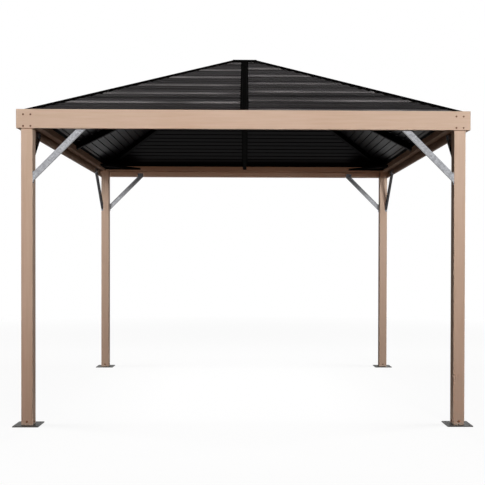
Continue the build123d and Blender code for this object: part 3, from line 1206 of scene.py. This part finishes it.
@dataclass(frozen=True)
class PhotoCamera:
    """The camera of the photograph.

    Attributes:
        place: where it stands.
        yaw: how far it looks to the right, in radians.
        pitch: how far it looks up.
        roll: how far it leans.
        focal_pixels: its focal length in pixels of the picture.
        drop_pixels: how far below the middle of the picture its axis lies.
        aside_pixels: how far to the right of the middle its axis lies.
        sight: how far it sees.
    """

    place: Place = (0.0083, -6.6528, 1.098)
    yaw: float = 0.016
    pitch: float = -0.0097
    roll: float = -0.0022
    focal_pixels: float = 779.15
    drop_pixels: float = 25.84
    aside_pixels: float = 15.27
    sight: float = 500.0

    def set_up(self) -> None:
        """Make the camera and hand it to the scene."""
        data = bpy.data.cameras.new("photo_camera")
        data.sensor_width = SENSOR_WIDTH
        data.lens = self.focal_pixels / IMAGE_SIZE * SENSOR_WIDTH
        data.shift_x = -self.aside_pixels / IMAGE_SIZE
        data.shift_y = self.drop_pixels / IMAGE_SIZE
        data.clip_end = self.sight
        ahead = Vector((math.sin(self.yaw), math.cos(self.yaw), 0.0))
        level = Vector((math.cos(self.yaw), -math.sin(self.yaw), 0.0))
        forward = ahead * math.cos(self.pitch) + UP * math.sin(self.pitch)
        above = UP * math.cos(self.pitch) - ahead * math.sin(self.pitch)
        right = level * math.cos(self.roll) - above * math.sin(self.roll)
        up = level * math.sin(self.roll) + above * math.cos(self.roll)
        turn = Matrix((right, up, -forward)).transposed().to_4x4()
        camera = bpy.data.objects.new("photo_camera", data)
        camera.matrix_world = Matrix.Translation(Vector(self.place)) @ turn
        bpy.context.scene.collection.objects.link(camera)
        bpy.context.scene.camera = camera


@dataclass(frozen=True)
class Softbox:
    """A broad soft lamp that gloss doesn't mirror.

    Attributes:
        name: of the lamp.
        place: where it stands.
        target: what it points at.
        width: across.
        height: up and down.
        power: in watts.
        spread: how wide its beam opens, in degrees.
        tint: its colour, as a screen colour.
    """

    name: str
    place: Place
    target: Place
    width: float
    height: float
    power: float
    spread: float
    tint: Colour = (255, 255, 255)

    def set_up(self) -> None:
        """Make the lamp and turn it to its target."""
        data = bpy.data.lights.new(self.name, "AREA")
        data.shape = "RECTANGLE"
        data.size = self.width
        data.size_y = self.height
        data.energy = self.power
        data.spread = math.radians(self.spread)
        data.color = linear(self.tint)[:3]
        lamp = bpy.data.objects.new(self.name, data)
        lamp.location = self.place
        lamp.rotation_euler = (Vector(self.target) - Vector(self.place)).to_track_quat("-Z", "Y").to_euler()
        lamp.visible_camera = False
        lamp.visible_glossy = False
        bpy.context.scene.collection.objects.link(lamp)
        LOG.info("%s: %.1f W", self.name, self.power)


LAMPS = (
    Softbox(
        name="front_left_softbox",
        place=(2.3, -13.0, 2.5),
        target=(-3.4, 0.0, 3.05),
        width=2.4,
        height=1.7,
        power=76.5,
        spread=40.0,
    ),
    Softbox(
        name="front_right_softbox",
        place=(3.6, -13.0, 2.5),
        target=(2.6, 0.0, 2.7),
        width=2.4,
        height=1.7,
        power=72.5,
        spread=40.0,
    ),
    Softbox(
        name="front_low_softbox",
        place=(0.6, -13.0, 1.3),
        target=(0.0, 0.0, 1.9),
        width=2.4,
        height=0.8,
        power=8.6,
        spread=40.0,
        tint=(255, 226, 208),
    ),
    Softbox(
        name="front_warm_softbox",
        place=(0.0, -13.0, 0.5),
        target=(0.0, 0.0, 0.1),
        width=3.0,
        height=0.6,
        power=2.8,
        spread=26.0,
        tint=(255, 146, 72),
    ),
    Softbox(
        name="rear_softbox",
        place=(0.0, 12.0, 2.6),
        target=(0.0, 0.0, 2.6),
        width=4.0,
        height=2.0,
        power=82.0,
        spread=40.0,
    ),
    Softbox(
        name="left_softbox",
        place=(-9.0, 0.0, 7.5),
        target=(0.0, 0.0, 1.5),
        width=4.0,
        height=2.0,
        power=235.0,
        spread=100.0,
    ),
    Softbox(
        name="right_softbox",
        place=(9.0, 0.0, 7.5),
        target=(0.0, 0.0, 1.5),
        width=4.0,
        height=2.0,
        power=235.0,
        spread=100.0,
    ),
)


@dataclass
class Studio:
    """A white studio: soft lamps, a white backdrop all round and a pale floor that keeps the shadow.

    Attributes:
        camera: the camera.
        lamps: the lamps.
        ambient: level of the light from all round.
        floor_colour: of the floor, as it lights the object.
        floor_shade: of the floor, as it takes the shadow.
        floor_glow: share of white that the floor shows before any light falls on it.
        floor_near: distance from the middle at which the floor starts to turn plain white.
        floor_far: distance at which it is plain white.
        floor_half: half of the floor's width.
        ceiling_start: sine of the height at which the backdrop starts to darken.
        ceiling_end: sine of the height at which it is as dark as the ceiling.
        ceiling: level of the ceiling.
    """

    camera: PhotoCamera = PhotoCamera()
    lamps: tuple[Softbox, ...] = LAMPS
    ambient: float = 0.03
    floor_colour: Colour = (62, 44, 32)
    floor_shade: Colour = (104, 104, 104)
    floor_glow: float = 0.88
    floor_near: float = 4.0
    floor_far: float = 9.0
    floor_half: float = 60.0
    ceiling_start: float = 0.34
    ceiling_end: float = 0.58
    ceiling: float = 0.012

    def set_up(self) -> None:
        """Make the camera, the lamps, the backdrop and the floor, and show colours as they are written."""
        bpy.context.scene.view_settings.view_transform = "Standard"
        self.camera.set_up()
        for lamp in self.lamps:
            lamp.set_up()
        self._backdrop()
        self._floor()

    @staticmethod
    def _seen(shader: Shader) -> Socket:
        """Find the rays that show the backdrop: from the camera, in gloss or through glass.

        Args:
            shader: the tree to work in.

        Returns:
            A socket that is 1 for those rays.
        """
        path = shader.add("LightPath").outputs
        mirrored = shader.math("MAXIMUM", path["Is Glossy Ray"], path["Is Transmission Ray"])
        return shader.math("MAXIMUM", path["Is Camera Ray"], mirrored)

    def _backdrop(self) -> None:
        """Make the world white to look at, dark overhead where only gloss shows it, and a low even light."""
        world = bpy.data.worlds.new("white_backdrop")
        world.use_nodes = True
        world.node_tree.nodes.clear()
        shader = Shader(world.node_tree)
        rise = shader.upright(shader.add("TexCoord").outputs["Generated"])
        level = shader.spread(rise, (self.ceiling_start, self.ceiling_end), (1.0, self.ceiling))
        level = shader.math("MAXIMUM", level, shader.add("LightPath").outputs["Is Camera Ray"])
        light = shader.add("Background", {"Color": WHITE, "Strength": self.ambient}).outputs[0]
        white = shader.add("Background", {"Color": WHITE, "Strength": level}).outputs[0]
        either = shader.add("MixShader", {0: self._seen(shader), 1: light, 2: white})
        shader.add("OutputWorld", {"Surface": either.outputs[0]})
        bpy.context.scene.world = world

    def _floor(self) -> None:
        """Lay a flat square floor, with a point at each pair of its half widths in x and y."""
        corner = np.array([-self.floor_half, self.floor_half])
        x, y = np.meshgrid(corner, corner)
        points = np.stack((x, y, np.zeros_like(x)), axis=-1).reshape(-1, 3)
        mesh = bpy.data.meshes.new("studio_floor")
        mesh.from_pydata(points.tolist(), [], [(0, 1, 3, 2)])
        mesh.update()
        mesh.materials.append(self._floor_material())
        floor = bpy.data.objects.new("studio_floor", mesh)
        bpy.context.scene.collection.objects.link(floor)
        LOG.info("studio_floor: %.0f m across", 2.0 * self.floor_half)

    def _floor_material(self) -> bpy.types.Material:
        """Make a floor that looks white, takes the shadow and throws a little dark, warm light up.

        Returns:
            The material.
        """
        material, shader = empty_material("white_floor")
        lit = shader.add("BsdfDiffuse", {"Color": linear(self.floor_colour)}).outputs[0]
        glow = shader.add("Emission", {"Color": WHITE, "Strength": self.floor_glow}).outputs[0]
        shaded = shader.add("BsdfDiffuse", {"Color": linear(self.floor_shade)}).outputs[0]
        near = shader.add("AddShader", {0: shaded, 1: glow}).outputs[0]
        white = shader.add("Emission", {"Color": WHITE, "Strength": 1.0}).outputs[0]
        place = shader.add("TexCoord").outputs["Object"]
        distance = shader.add("VectorMath", {0: place}, operation="LENGTH").outputs["Value"]
        far = shader.spread(distance, (self.floor_near, self.floor_far), WHOLE)
        shown = shader.add("MixShader", {0: far, 1: near, 2: white}).outputs[0]
        either = shader.add("MixShader", {0: self._seen(shader), 1: lit, 2: shown})
        shader.add("OutputMaterial", {"Surface": either.outputs[0]})
        return material


def main() -> None:
    """Load the frame, dress it, add the fasteners and set up the studio."""
    logging.basicConfig(level=logging.INFO, format="%(name)s: %(message)s")
    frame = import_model()
    finishes = Finishes(Effects())
    gazebo = [kind(frame["nodes"], finishes) for kind in (Eaves, Posts, KneeBraces, Roof)]
    for assembly in gazebo:
        assembly.dress()
    for assembly in gazebo:
        assembly.fasten()
    Studio().set_up()


if __name__ == "__main__":
    main()
